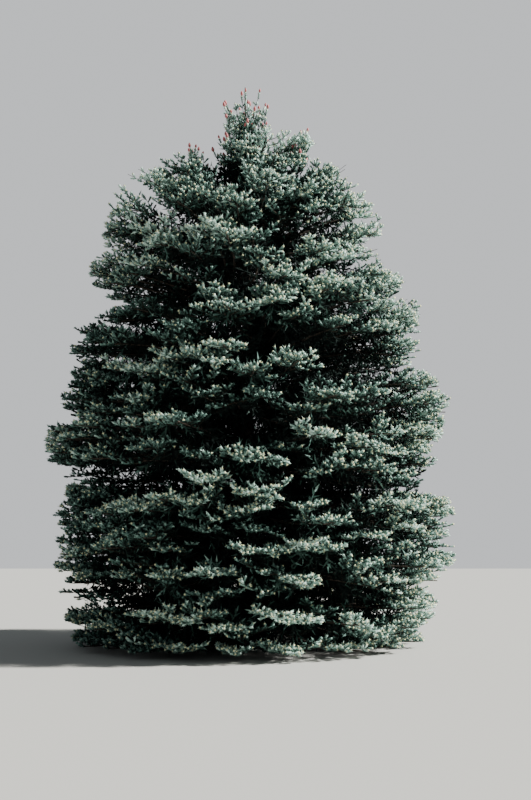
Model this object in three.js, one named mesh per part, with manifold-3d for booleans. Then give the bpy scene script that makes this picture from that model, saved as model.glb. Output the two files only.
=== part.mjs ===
// Blue spruce tree, seven metres tall, with shelves of foliage that reach the ground all round.
// Millimetres, +Z up. The origin is the middle of the flat cut under the trunk, at ground level.
import * as THREE from "three";
import { mergeVertices } from "three/addons/utils/BufferGeometryUtils.js";
import Module from "manifold-3d";

const wasm = await Module();
wasm.setup();

// Trunk
const TREE_HEIGHT = 7000;
const TRUNK_LEAN = -40; // how far the tip stands to the left of the foot
const TRUNK_RADIUS = 115;
const TRUNK_TIP_RADIUS = 7;
const TRUNK_TAPER = 1.1; // above 1 the taper is quicker near the tip
const FLARE_WIDTH = 62;
const FLARE_HEIGHT = 190;
const FLARE_ROOTS = 5;
const FLARE_LOBE = 0.3;
const TRUNK_SIDES = 10;
const TRUNK_RINGS = 9;
const RING_SPACING = 1.5; // above 1 the trunk's rings are closer together low down

// Crown outline: pairs of height and reach from the trunk, on the right and on the left
const RIGHT_REACH = [
  [0, 2040], [500, 2280], [1400, 2490], [2850, 2370], [3900, 2080], [4600, 1840],
  [5150, 1620], [5750, 1230], [6450, 720], [6550, 360], [6760, 320], [7000, 100],
];
const LEFT_REACH = [
  [0, 2040], [700, 2260], [2400, 2420], [3600, 2150], [4700, 1900], [5400, 1610],
  [5800, 1330], [6240, 740], [6340, 370], [6740, 330], [7000, 100],
];

// Tiers of boughs: where each leaves the trunk, how it rises and how many boughs it has
const FIRST_TIER = 500;
const TIER_STEP = 640;
const TIER_SHRINK = 7; // each step is smaller than the last by twice this
const LAST_TIER = 10;
const LOWEST_RISE = -6; // degrees above level
const RISE_RANGE = 68;
const RISE_CURVE = 2.2;
const BOUGH_SAG = 0.16; // a bough sags by up to a quarter of this share of its length
const TIERS_OF_FIVE = 7;
const TIERS_OF_FOUR = 9;
const FIRST_TURN = -82;
const TIER_TURN = 31;
const TURN_JITTER = 8;
const TIERS_WITH_BOUGHS = 2;

// Boughs, stems and twigs
const BOUGH_RADIUS = 36;
const BOUGH_THINNING = 0.75; // share of its radius that a limb loses from trunk to tip
const BOUGH_SHARE = 0.3; // of the reach, before the foliage begins
const BOUGH_SIDES = 5;
const STEM_END = 0.8;
const STEM_SIDES = 3;
const LIMB_STEPS = 2;
const TWIG_RADIUS = 10;
const TWIG_THINNING = 0.4;
const TWIG_FORK = 0.7; // of the way out to the spray's root, where its twig leaves the stem
const TWIG_END = 0.12; // of the spray's length, where its twig ends inside it

// Sprays of needles, cones and the core of a mass
const SPRAY_SHARE = 0.28; // of the reach
const LEAST_SPRAY = 260;
const LEAST_ROOT = 0.4; // of the reach, from the trunk to the root of a spray
const SPRAY_WIDTH = 0.52; // of the spray's own level length, to one side
const TOP_SPRAY_WIDTH = 0.36;
const UNEVEN_REACH = 0.05;
const ROOT_ASIDE = 0.8; // how far aside a spray's root stands, as a share of its tip's
const SPRAY_THICKNESS = 0.09;
const TIP_TURNS_UP = 0.1;
const CONE_LENGTH = 75;
const CONE_RADIUS = 19;
const CONE_TOP = 0.5; // radius at the top, as a share
const CONE_LIFT = 0.2; // of its length, how far its middle stands above the tip that bears it
const CONE_SIDES = 4;
const CORE_START = 0.16; // of the reach
const CORE_AFTER_BOUGH = 0.04; // of the reach, from a bough's end to the core
const CORE_SIDES = 7;
const TIERS_WITHOUT_CONES = 9;
const TIERS_WITHOUT_CORE = 10;

// Clearances
const TOUCHING_GAP = 0.3;
const SPACE_GAP = 14; // between the spaces of two masses
const TRUNK_CLEARANCE = 8;
const GROUND_CLEARANCE = 25;
const MERGE_DISTANCE = 1e-3;

// Halvings until a tier's reach settles on the outline, and what tells the seeds of sprays apart
const REACH_TURNS = 30;
const SEEDS_PER_MASS = 7;
const SEEDS_PER_ROW = 31;

const BARK = { color: 0x6b5b50, roughness: 0.95, metalness: 0 };
const NEEDLES = { color: 0x5f7a7c, roughness: 0.75, metalness: 0 };

const { degToRad, lerp } = THREE.MathUtils;

// A number from 0 to 1, the same each time for the same seed.
function chance(seed) {
  const wave = Math.sin(seed * 12.9898 + 4.1414) * 43758.5453;
  return wave - Math.floor(wave);
}

// Reads a list of height and reach pairs at a height, in straight steps between them.
function reachAt(outline, height) {
  const above = outline.findIndex(([h]) => h > height);
  if (above === 0) return outline[0][1];
  if (above < 0) return outline.at(-1)[1];
  const [[h0, r0], [h1, r1]] = [outline[above - 1], outline[above]];
  return lerp(r0, r1, (height - h0) / (h1 - h0));
}

// The crown's reach at a height in a direction: the right and left outlines, blended round the tree.
function crownReach(height, azimuth) {
  const rightness = (1 + Math.cos(azimuth)) / 2;
  return lerp(reachAt(LEFT_REACH, height), reachAt(RIGHT_REACH, height), rightness);
}

function trunkAxis(height) {
  return new THREE.Vector3(TRUNK_LEAN * (height / TREE_HEIGHT) ** 2, 0, height);
}

// Radius of the trunk: a slow taper, and a flare with root lobes at the foot.
function trunkRadius(height, angle) {
  const left = 1 - (height / TREE_HEIGHT) ** TRUNK_TAPER;
  const flare = FLARE_WIDTH * Math.exp(-height / FLARE_HEIGHT);
  const lobe = 1 + FLARE_LOBE * Math.cos(FLARE_ROOTS * angle);
  return TRUNK_TIP_RADIUS + (TRUNK_RADIUS - TRUNK_TIP_RADIUS) * left + flare * lobe;
}

const tierHeight = (tier) => FIRST_TIER + TIER_STEP * tier - TIER_SHRINK * tier * tier;

const tierSlope = (tier) =>
  Math.tan(degToRad(LOWEST_RISE + RISE_RANGE * (Math.max(tier, 0) / LAST_TIER) ** RISE_CURVE));

// Height of a tier's middle surface at a distance from the trunk: the boughs lie on it.
function tierSurface(tier, distance) {
  const span = reachAt(LEFT_REACH, tierHeight(tier));
  const sag = BOUGH_SAG * distance * (1 - distance / span);
  return tierHeight(tier) + distance * tierSlope(tier) - sag;
}

// Half the height between a tier's surface and the next one's, above the last tier half a step.
const tierRoom = (tier, distance) =>
  Math.min(tierSurface(tier + 1, distance) - tierSurface(tier, distance), TIER_STEP) / 2;

// How far out a tier meets the crown's outline in a direction, at a height above its surface.
function tierReach(tier, azimuth, above = 0) {
  let reach = crownReach(tierHeight(tier), azimuth);
  for (let turn = 0; turn < REACH_TURNS; turn++)
    reach = (reach + crownReach(tierSurface(tier, reach) + above, azimuth)) / 2;
  return reach;
}

function boughsInTier(tier) {
  if (tier < TIERS_OF_FIVE) return 5;
  return tier < TIERS_OF_FOUR ? 4 : 3;
}

function boughAzimuth(tier, index) {
  const count = boughsInTier(tier);
  const jitter = TURN_JITTER * (2 * chance(tier * 10 + ((index + count) % count)) - 1);
  return degToRad(FIRST_TURN + TIER_TURN * tier + (360 / count) * index + jitter);
}

// One bough: its direction, its reach, its half of the gap to each neighbour, and its line out
// from the trunk, as a point for each share of the reach.
function boughPlan(tier, index) {
  const azimuth = boughAzimuth(tier, index);
  const before = (azimuth - boughAzimuth(tier, index - 1)) / 2;
  const after = (boughAzimuth(tier, index + 1) - azimuth) / 2;
  const reach = tierReach(tier, azimuth);
  const foot = trunkAxis(tierHeight(tier));
  const out = new THREE.Vector3(Math.cos(azimuth), Math.sin(azimuth), 0);
  const line = (share) =>
    foot.clone().addScaledVector(out, reach * share).setZ(tierSurface(tier, reach * share));
  return { tier, azimuth, before, after, reach, foot, line, seed: tier * 10 + index };
}

// Turns a closed geometry into a solid that can be cut and joined.
function solidFrom(geometry) {
  const bare = geometry.clone();
  bare.deleteAttribute("normal");
  bare.deleteAttribute("uv");
  const merged = mergeVertices(bare, MERGE_DISTANCE);
  return new wasm.Manifold(
    new wasm.Mesh({
      numProp: 3,
      vertProperties: new Float32Array(merged.attributes.position.array),
      triVerts: new Uint32Array(merged.index.array),
    }),
  );
}

function geometryFrom(solid) {
  const mesh = solid.getMesh();
  const geometry = new THREE.BufferGeometry();
  geometry.setAttribute("position", new THREE.BufferAttribute(mesh.vertProperties, 3));
  geometry.setIndex(new THREE.BufferAttribute(mesh.triVerts, 1));
  geometry.computeVertexNormals();
  return geometry;
}

// Moves each vertex of a geometry to where place(x, y, z) says.
function reshaped(geometry, place) {
  const spots = geometry.attributes.position;
  for (let i = 0; i < spots.count; i++) {
    const spot = place(spots.getX(i), spots.getY(i), spots.getZ(i));
    spots.setXYZ(i, spot.x, spot.y, spot.z);
  }
  return geometry;
}

// A closed round limb along a line: middle(share) gives its middle and radius(share) its radius.
function limb(middle, radius, sides, steps) {
  const nearby = 0.01;
  const vertical = new THREE.Vector3(0, 0, 1);
  return reshaped(new THREE.CylinderGeometry(1, 1, 1, sides, steps), (x, y, z) => {
    const share = y + 0.5;
    const ahead = middle(Math.min(share + nearby, 1));
    const along = ahead.sub(middle(Math.max(share - nearby, 0))).normalize();
    const side = along.clone().cross(vertical).normalize();
    const up = side.clone().cross(along);
    const size = radius(share);
    return middle(share).addScaledVector(side, x * size).addScaledVector(up, z * size);
  });
}

// The trunk's rings are level, so that its foot is flat, and closer together low down.
function trunkGeometry(extra = 0) {
  return reshaped(new THREE.CylinderGeometry(1, 1, 1, TRUNK_SIDES, TRUNK_RINGS), (x, y, z) => {
    const height = TREE_HEIGHT * (y + 0.5) ** RING_SPACING;
    const radius = trunkRadius(height, Math.atan2(z, x)) + extra;
    return trunkAxis(height).add(new THREE.Vector3(x * radius, -z * radius, 0));
  });
}

const trunkAndGap = solidFrom(trunkGeometry(TOUCHING_GAP));

// Radius of a bough, and of the stem that goes on from it, at a share of the reach.
function limbRadius(plan, share) {
  const full = BOUGH_RADIUS * Math.sqrt(plan.reach / RIGHT_REACH[0][1]);
  return full * (1 - BOUGH_THINNING * share);
}

function boughSolid(plan) {
  const middle = (share) => plan.line(share * BOUGH_SHARE);
  const radius = (share) => limbRadius(plan, share * BOUGH_SHARE);
  return solidFrom(limb(middle, radius, BOUGH_SIDES, LIMB_STEPS)).subtract(trunkAndGap);
}

// A point of a mass: a share of the reach outwards, a share of the half gap to the next bough
// sideways, and a share of the half height to the next tier upwards.
function placeIn(plan, out, aside, above) {
  const swing = aside * (aside > 0 ? plan.after : plan.before);
  const azimuth = plan.azimuth + swing;
  const lift = above * tierRoom(plan.tier, plan.reach * out);
  const distance = tierReach(plan.tier, azimuth, lift) * out;
  const point = plan.foot.clone();
  point.x += distance * Math.cos(azimuth);
  point.y += distance * Math.sin(azimuth);
  point.z = tierSurface(plan.tier, distance) + above * tierRoom(plan.tier, distance);
  return point;
}

// Whether a point is in the mass's own space: between the walls to its neighbours, between the
// tiers below and above, off the ground and clear of the trunk.
function inOwnSpace(plan, point) {
  const fromFoot = point.clone().sub(plan.foot).setZ(0);
  const distance = fromFoot.length();
  const turn = Math.atan2(fromFoot.y, fromFoot.x) - plan.azimuth;
  const swing = Math.atan2(Math.sin(turn), Math.cos(turn));
  const left = swing > 0 ? plan.after - swing : plan.before + swing;
  const level = tierSurface(plan.tier, distance);
  const ceiling = level + tierRoom(plan.tier, distance) - SPACE_GAP / 2;
  const floor = level - tierRoom(plan.tier - 1, distance) + SPACE_GAP / 2;
  return (
    distance * Math.sin(left) > SPACE_GAP / 2 &&
    point.z > Math.max(floor, GROUND_CLEARANCE) &&
    (plan.tier === LAST_TIER || point.z < ceiling) &&
    distance > trunkRadius(point.z, 0) + TRUNK_CLEARANCE
  );
}

// The core: rings across the mass, each at a share of the reach, with its width and height as
// shares of the mass's own space, closed to a point at both ends.
function coreGeometry(plan, inner) {
  const rings = [
    { out: inner, wide: 0, high: 0 },
    { out: inner + 0.14, wide: 0.74, high: 0.5 },
    { out: 0.56, wide: 0.86, high: 0.72 },
    { out: 0.76, wide: 0.84, high: 0.6 },
    { out: 0.84, wide: 0, high: 0 },
  ];
  const profile = rings.map((_, i) => new THREE.Vector2(i % (rings.length - 1) ? 1 : 0, i));
  return reshaped(new THREE.LatheGeometry(profile, CORE_SIDES), (x, y, z) => {
    const ring = rings[Math.round(y)];
    return placeIn(plan, ring.out, -x * ring.wide, z * ring.high);
  });
}

// A spray of needles: a blade cut to the outline of a tip shoot and two pairs of side shoots, thick
// along its middle, that turns up towards its tip. Side points are shares along and aside.
function spray(root, tip, widthShare) {
  const halfOutline = [[0.5, 0.95], [0.5, 0.26], [0.79, 0.66], [0.76, 0.16]];
  const hub = 0.4;
  const along = tip.clone().sub(root);
  const length = along.length();
  const width = widthShare * Math.hypot(along.x, along.y);
  along.normalize();
  const side = along.clone().cross(new THREE.Vector3(0, 0, 1)).normalize();
  const lift = side.clone().cross(along);
  const spot = (a, s, up = 0) =>
    root
      .clone()
      .addScaledVector(along, a * length)
      .addScaledVector(side, s * width)
      .addScaledVector(lift, (up + TIP_TURNS_UP * (a * a - a)) * length);
  const right = halfOutline.map(([a, s]) => spot(a, s));
  const left = halfOutline.map(([a, s]) => spot(a, -s)).reverse();
  const rim = [spot(0, 0), ...right, spot(1, 0), ...left];
  const points = [...rim, spot(hub, 0, SPRAY_THICKNESS / 2), spot(hub, 0, -SPRAY_THICKNESS / 2)];
  const faces = rim.flatMap((_, i) => {
    const next = (i + 1) % rim.length;
    return [i, next, rim.length, next, i, rim.length + 1];
  });
  const geometry = new THREE.BufferGeometry().setFromPoints(points);
  geometry.setIndex(faces);
  return { geometry, points };
}

function cone(tip) {
  const topRadius = CONE_TOP * CONE_RADIUS;
  const geometry = new THREE.CylinderGeometry(topRadius, CONE_RADIUS, CONE_LENGTH, CONE_SIDES);
  return geometry.rotateX(Math.PI / 2).translate(tip.x, tip.y, tip.z + CONE_LIFT * CONE_LENGTH);
}

// The rows of sprays in a mass: how many, how far they spread, how high their tips and roots stand
// as shares of the space, and how much higher every second tip stands. Only the top has three rows.
function sprayRows(plan) {
  const many = plan.tier < TIERS_OF_FIVE ? 4 : 3;
  if (plan.tier < TIERS_WITHOUT_CORE)
    return [
      { count: many, spread: 0.74, tipHigh: 0.5, rootHigh: 0.34, uneven: 0.37 },
      { count: 3, spread: 0.62, tipHigh: -0.48, rootHigh: -0.3, uneven: -0.36 },
    ];
  return [
    { count: 2, spread: 0.3, tipHigh: 1.4, rootHigh: 0.9, uneven: -0.3 },
    { count: 2, spread: 0.5, tipHigh: 0.4, rootHigh: 0.2, uneven: 0.2 },
    { count: 2, spread: 0.56, tipHigh: -0.5, rootHigh: -0.3, uneven: 0.2 },
  ];
}

function foliageSolid(plan) {
  const hasBough = plan.tier < TIERS_WITH_BOUGHS;
  const hasCore = plan.tier < TIERS_WITHOUT_CORE;
  const start = hasBough ? BOUGH_SHARE + TOUCHING_GAP / plan.reach : 0;
  const stemLine = (share) => plan.line(lerp(start, STEM_END, share));
  const stemRadius = (share) => limbRadius(plan, lerp(start, STEM_END, share));
  const coreStart = hasBough ? BOUGH_SHARE + CORE_AFTER_BOUGH : CORE_START;
  const parts = [solidFrom(limb(stemLine, stemRadius, STEM_SIDES, LIMB_STEPS))];
  if (hasCore) parts.push(solidFrom(coreGeometry(plan, coreStart)));
  sprayRows(plan).forEach((row, rowIndex) => {
    for (let i = 0; i < row.count; i++) {
      const seed = plan.seed * SEEDS_PER_MASS + rowIndex * SEEDS_PER_ROW + i;
      const aside = lerp(-row.spread, row.spread, i / (row.count - 1));
      const high = row.tipHigh + row.uneven * (i % 2);
      const tip = placeIn(plan, 1 - UNEVEN_REACH * chance(seed), aside, high);
      const rootOut = Math.max(1 - Math.max(SPRAY_SHARE, LEAST_SPRAY / plan.reach), LEAST_ROOT);
      const root = placeIn(plan, rootOut, ROOT_ASIDE * aside, row.rootHigh);
      const blade = spray(root, tip, hasCore ? SPRAY_WIDTH : TOP_SPRAY_WIDTH);
      if (!blade.points.every((point) => inOwnSpace(plan, point))) continue;
      const fork = plan.line(rootOut * TWIG_FORK);
      const end = root.clone().lerp(tip, TWIG_END);
      const twigLine = (share) => fork.clone().lerp(end, share);
      const twigRadius = (share) => TWIG_RADIUS * (1 - TWIG_THINNING * share);
      const twig = limb(twigLine, twigRadius, STEM_SIDES, 1);
      parts.push(solidFrom(twig), solidFrom(blade.geometry));
      if (plan.tier >= TIERS_WITHOUT_CONES && i % 2 === rowIndex) parts.push(solidFrom(cone(tip)));
    }
  });
  const joined = wasm.Manifold.union(parts);
  const bodies = (hasBough ? joined : joined.subtract(trunkAndGap)).decompose();
  return bodies.sort((a, b) => b.volume() - a.volume())[0];
}

function named(name, geometry, look) {
  const mesh = new THREE.Mesh(geometry, new THREE.MeshStandardMaterial(look));
  mesh.name = name;
  return mesh;
}

const tree = new THREE.Group();
tree.name = "blue_spruce";
tree.add(named("trunk", trunkGeometry(), BARK));
for (let tier = 0; tier <= LAST_TIER; tier++) {
  for (let index = 0; index < boughsInTier(tier); index++) {
    const plan = boughPlan(tier, index);
    const place = `${String(tier + 1).padStart(2, "0")}_${index + 1}`;
    if (tier < TIERS_WITH_BOUGHS)
      tree.add(named(`bough_${place}`, geometryFrom(boughSolid(plan)), BARK));
    tree.add(named(`foliage_${place}`, geometryFrom(foliageSolid(plan)), NEEDLES));
  }
}

export default tree;
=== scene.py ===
"""Blue spruce tree: trunk and boughs with bark, twigs, needle-clad shoots and young cones, in metres.

The crown follows the same rule as its solids: tiers of masses on surfaces round the trunk. Each mass
is boughs that leave one limb and end in hands, each hand is branchlets, each branchlet is shoots,
and each shoot is a stem clad in needles. A leader and lesser tops stand on it.

Angles are in degrees, apart from those that a name calls a roll and the golden angle, which are in
radians. A name that ends in RANGE holds a least and a greatest value, one that ends in NORMAL a mean
and a spread, and one with BY a value at nought and how much more it is at one.
"""

import math

import bpy
import numpy as np
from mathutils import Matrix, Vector


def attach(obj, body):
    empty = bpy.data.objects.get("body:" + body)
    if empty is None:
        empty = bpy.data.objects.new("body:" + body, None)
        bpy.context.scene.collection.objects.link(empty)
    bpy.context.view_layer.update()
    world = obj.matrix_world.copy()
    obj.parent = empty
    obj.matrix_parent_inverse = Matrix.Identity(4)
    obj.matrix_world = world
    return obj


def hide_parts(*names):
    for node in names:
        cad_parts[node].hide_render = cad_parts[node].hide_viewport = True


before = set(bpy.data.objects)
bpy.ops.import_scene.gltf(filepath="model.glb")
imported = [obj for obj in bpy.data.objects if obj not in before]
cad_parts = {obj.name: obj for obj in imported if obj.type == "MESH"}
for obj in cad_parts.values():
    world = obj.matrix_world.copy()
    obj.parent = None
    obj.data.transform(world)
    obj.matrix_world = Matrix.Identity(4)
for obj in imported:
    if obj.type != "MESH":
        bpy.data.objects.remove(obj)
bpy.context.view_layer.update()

# Trunk
TREE_HEIGHT = 7.0
TRUNK_LEAN = -0.04
TRUNK_RADIUS = 0.115
TRUNK_TIP_RADIUS = 0.007
TRUNK_TAPER = 1.1
FLARE_WIDTH = 0.062
FLARE_HEIGHT = 0.19
FLARE_ROOTS = 5
FLARE_LOBE = 0.3

# Crown outline: pairs of height and reach from the trunk, on the right and on the left
RIGHT_REACH = [
    (0, 2.04), (0.5, 2.28), (1.4, 2.49), (2.85, 2.37), (3.9, 2.08), (4.6, 1.84),
    (5.15, 1.62), (5.75, 1.23), (6.45, 0.72), (6.55, 0.36), (6.76, 0.32), (7.0, 0.1),
]
LEFT_REACH = [
    (0, 2.04), (0.7, 2.26), (2.4, 2.42), (3.6, 2.15), (4.7, 1.9), (5.4, 1.61),
    (5.8, 1.33), (6.24, 0.74), (6.34, 0.37), (6.74, 0.33), (7.0, 0.1),
]

# The left outline from its widest place upwards, where the reach falls as the height grows
LEFT_SLOPE = LEFT_REACH[2:]

# Hollows in the outline, and swellings as hollows below nought: azimuth, height, depth, half height
HOLLOWS = [
    (0, 4.78, 0.46, 0.15), (180, 4.08, 0.55, 0.2), (0, 2.3, 0.2, 0.14), (180, 1.85, 0.2, 0.2),
    (0, 0.7, 0.16, 0.12), (180, 3.15, 0.14, 0.14), (0, 5.4, -0.12, 0.45), (180, 5.5, -0.13, 0.3),
    (0, 4.15, -0.16, 0.18), (0, 2.05, -0.1, 0.12), (180, 3.6, -0.06, 0.16),
    (180, 2.7, -0.08, 0.14), (-90, 5.98, 0.5, 0.27), (0, 2.92, -0.12, 0.14), (0, 1.05, -0.07, 0.16),
    (180, 2.15, -0.07, 0.14),
]
HOLLOW_SPREAD = 1.3
RIM_SLACK = 0.02
LEAST_SHARE = 0.05

# Tiers of boughs
FIRST_TIER = 0.5
TIER_STEP = 0.64
TIER_SHRINK = 0.007
LAST_TIER = 10
LOWEST_RISE = -6
RISE_GAIN = 68
RISE_CURVE = 2.2
BOUGH_SAG = 0.16
TIERS_OF_FIVE = 7
TIERS_OF_FOUR = 9
FIRST_TURN = -82
TIER_TURN = 31
TURN_JITTER = 8
REACH_HALVINGS = 30

# Boughs: they fork off their mass's limb, and their ends hang by a share of the droop for each tier
BOUGH_RADIUS = 0.036
BOUGH_THINNING = 0.75
BOUGH_SIDES = 4
BOUGH_UNEVEN_RANGE = (0.86, 1.14)
BOUGH_BY_FULLNESS = (0.4, 0.2)
LINE_STEPS = 12
LINE_START = 0.02
LINE_STRETCHES = 5
FORK_START = 0.06
FORK_END = 0.62
END_DROOP = 0.2
DROOP_FROM = 0.55
TIER_DROOPS = [(0, 0.0), (2, 0.4), (5, 1.0), (7, 1.5), (9, 1.2)]
HANG_RANGE = (0.3, 1.1)
LEAST_HEIGHT = 0.07

# Rows of hands in each mass: height within its room, share of the reach, fullness
SHELVES = [
    (-0.9, 0.85, 0.5), (-0.5, 0.93, 1.0), (-0.1, 0.9, 0.5), (0.25, 1.0, 1.0), (0.6, 0.97, 1.0),
]
LOWEST_SHELF = (-1.15, 1.0, 1.0)
TOP_SHELVES = [(-0.7, 0.85, 0.5), (-0.25, 0.95, 1.0), (0.15, 1.0, 1.0), (0.5, 0.95, 1.0)]
TOP_FROM = 6
TOP_SIZE = 1.2
REACH_SHARES = [1.0, 0.97, 0.92, 0.84, 0.72]
REACH_ODDS = [0.44, 0.26, 0.13, 0.09, 0.08]
EDGE_SINE = 0.4
RIM_MARGIN = 0.01
MASS_REACH_RANGE = (0.97, 1.01)
MASS_SHIFT = 0.33
ROW_TILT = 0.42
ROW_ARCH_RANGE = (0.2, 0.85)
ARCH_LEVEL = 0.3
ROW_STAGGER = 0.5
STAGGER_JITTER = 0.12
COUNT_JITTER = 0.4
ASIDE_JITTER = 0.3
HEIGHT_JITTER = 0.26

# A hand: its width and depth, and the pairs of branchlets along it
HAND_WIDTH = 0.66
THIN_WIDTH = 1.15
HAND_WIDTH_RANGE = (0.7, 1.25)
HAND_DEPTH = 0.42
DEEPEST_HAND = 1.3 * HAND_DEPTH
DEPTH_BY_WIDTH = (0.3, 0.24)
DEPTH_BY_FULLNESS = (0.7, 0.3)
DEPTH_RANGE = (0.85, 1.2)
DEPTH_OF_BOUGH = 0.75
HAND_ROLL = 0.13
ROLL_GAIN = 0.012
ROLL_BY_BUSHINESS = (0.2, 0.4)
BUSHY_FROM = 6
BUSHY_TIERS = 5
LEAST_HAND = 0.3
BRANCHLET_STEP = 0.118
BRANCHLETS_BY_FULLNESS = (0.5, 0.5)
LEAST_PAIRS = 2
FIRST_PAIR = 0.4
PAIR_STAGGER = 0.22
PAIR_JITTER = 0.2
LAST_PAIR = 0.95
SHOULDER = 0.3
WIDTH_BY_SHOULDER = (0.55, 0.45)
END_POWER = 2.2
END_ROUNDNESS = 0.6
BRANCHLET_RANGE = (0.82, 1.15)
BRANCHLET_EXTRA = 0.03
BRANCHLET_ANGLE = 62
ANGLE_FALL = 20
ANGLE_JITTER = 7
END_BACK = 0.75
END_LENGTH = 0.74
LAST_BACK = 0.02
LAST_LENGTH = 0.06
LEAST_BRANCHLET = 0.04
CUT_TURNS = 10
CUT_SHARE = 0.88
TIP_ALLOWANCE = 0.6

# Shoots on a branchlet: pairs at its nodes, some on top, and one at its end
SHOOT_STEP = 0.072
SHOOT_LENGTH = 0.088
SHOOTS_BY_FULLNESS = (0.6, 0.4)
MOST_NODES = 13
NODE_BACK = 0.45
NODE_JITTER = 0.015
NODE_MARGIN = 0.02
BEND_AHEAD = 0.22
BEND_UP_RANGE = (0.06, 0.24)
SIDE_ANGLE_NORMAL = (48, 8)
SIDE_LIFT_NORMAL = (18, 15)
SIDE_JITTER = 0.02
SIDE_RANGE = (0.75, 1.15)
UPPER_ODDS = 0.42
UPPER_LEAN_RANGE = (28, 58)
UPPER_SWAY = 0.4
UPPER_RANGE = (0.6, 0.9)
END_OVERLAP = 0.03
END_RANGE = (0.9, 1.2)
CUT_SHORT = 0.6
SHOOT_FLOOR = 0.036

# Old shoots that fill a bough's inside: their number for each metre, and lengths at foot and end
FILL_DENSITY = 25
FILL_DEPTH = 0.28
FILL_TIERS = 15
FILL_FLOOR = 0.08
FILL_LENGTHS = (0.4, 0.18)
FILL_START = 0.1
FILL_STOP = 0.35
FILL_ANGLE_RANGE = (40, 90)
FILL_RANGE = (0.8, 1.2)

# Twigs: radii at foot and end
TWIG_RADII = (0.006, 0.003)
TWIG_RINGS = 3
TWIG_SIDES = 3

# Height of the tiers' upper edge, which is uneven, and higher on the right
TIERS_TOP = 6.18
TOP_UNEVEN = 0.3
TOP_LIFT = 0.16
TIP_MARGIN = 0.1

# Leader and the lesser tops round it: azimuth, distance, height of foot and tip, width at the foot
LEADER = (0, 0, 5.7, 6.5, 0.61)
SIDE_TOPS = [(-14, 0.67, 5.8, 6.27, 0.25), (172, 0.62, 5.78, 6.14, 0.26), (88, 0.5, 5.85, 6.32, 0.3)]
LOW_TOPS = [(-82, 0.62, 5.1, 5.56, 0.5), (-125, 0.7, 5.1, 5.5, 0.42), (-45, 0.75, 5.1, 5.4, 0.4)]
STEM_STEPS = 9
STEM_SPREAD = 0.12
STEM_RADII = (0.016, 0.005)
STEM_SIDES = 5
WHORL_STEP = 0.085
WHORL_COUNT = 6
LEAST_WHORLS = 3
WHORL_ROLL = 0.2
WHORL_RISE = 24
LEADER_RISE = 16
SIDE_RISE = 36
WHORL_THINNING = 0.28
WHORL_RANGE = (0.75, 1.1)
WHORL_SHORTER = 0.09
STEM_END = 0.93
STEM_END_SIZE = 0.05
SPIKE_HEIGHT = 6.88
SPIKE_STEP = 0.05
SPIKE_SWAY = 0.04
SPIKE_LENGTH = 1.1

# Young cones: odds at a branchlet's end on the leader and on the side tops, and at other shoots
LEADER_CONES = 0.75
SIDE_CONES = 0.35
STRAY_CONES = 0.015
CONES_FROM = 0.2
CONE_SIDES = 8
CONE_RINGS = 8
CONE_RADIUS = 0.016
CONE_LENGTH = 0.058
CONE_SINK = 0.004
CONE_FOOT = -0.006
CONE_TIP = 0.056
CONE_SCALES = 0.16
CONE_FULLEST = 0.8
CONE_BLUNTNESS = 0.6
CONE_UPRIGHT = 0.8
CONE_RANGE = (0.8, 1.2)

# Bark: relief in the mesh as plates round the trunk, and finer in its finish
TRUNK_SIDES = 72
TRUNK_RINGS = 220
RING_CROWDING = 1.3
PLATES_ROUND = 15
PLATE_HEIGHT = 0.075
PLATE_RELIEF = 0.006
LEAST_RELIEF = 0.1
GROOVE_WIDTH = 0.45
BARK_PATCHES = 14
BARK_SCALES = 42
SCALE_DEPTH = 0.004

# Needles and the stem that they clothe, young and old
NEEDLES_FULL = 9
NEEDLES_THIN = 5
NEEDLES_OLD = 7
NEEDLE_LENGTH = 0.026
NEEDLE_WIDTH = 0.01
CLAD_RADIUS = 0.0155
OLD_NEEDLE_LENGTH = 0.07
OLD_NEEDLE_WIDTH = 0.022
OLD_CLAD_RADIUS = 0.01
CLAD_SIDES = 3
CLAD_FOOT = 0.4
CLAD_SHOULDER = 0.84
KITE_SHOULDER = 0.4
FIRST_NEEDLE = 0.06
NEEDLE_SPAN = 0.9
NEEDLE_TURN_ROLL = 0.15
NEEDLE_LEAN = 58
LEAN_FALL = 30
LEAN_SPREAD = 7
NEEDLE_RANGE = (0.85, 1.12)
NEEDLE_ROLL = 0.9
NEEDLE_ROOT = 0.45
FATNESS_RANGE = (0.88, 1.14)

# Steps of shade, each a deeper shade than the one before: a hand's own tone, which varies by
# chance, then painted light and shade by place, by depth and by kind, partly also the duller colour
# of older needles, and within a shoot painted shade at its foot and painted highlight towards its tip
TONE_RANGE = (0.2, 1.8)
TOP_TONE_RANGE = (0.4, 1.2)
SPIKE_TONE = 0.6
TONE_SPREAD = 0.4
# Painted light: hands of the top tiers half a step lighter
TOP_PAINTED_LIGHT = -0.5
# Painted shade: hands on the left side, away from the sun, up to this many steps more shaded
LEFT_PAINTED_SHADE = 1.4
# Painted shade: steps for each metre of depth under the crown's surface past the lit depth, partly also
# the duller green of older inner needles
DEPTH_PAINTED_SHADE_RATE = 4.0
LIT_DEPTH = 0.2
DEEP = 0.5
# Painted shade on thin hands, in full from the thin depth down
THIN_PAINTED_SHADE = 1.5
THIN_DEPTH = 0.4
# Painted shade on the old shoots inside the boughs, partly also their duller colour
FILL_PAINTED_SHADE = 2.2
# Within a shoot: painted shade towards the foot of its stem and needles and painted highlight towards its
# tip, no lighter than the lightest step
NEEDLE_FOOT_PAINTED_SHADE = 1.9
NEEDLE_TIP_PAINTED_LIGHT = 3
LIGHTEST_STEP = -1
# Blunt ends in the buds' own pale buff, on this share of shoots and only those lighter than the limit, so
# the buff also stands as painted highlight on lit shoots
BUFF_SHARE = 0.7
BUFF_LIT_LIMIT = 2

# Seeds of what varies by chance
TIERS_SEED = 593
MASS_SEED = 1000
TOPS_SEED = 77

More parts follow.
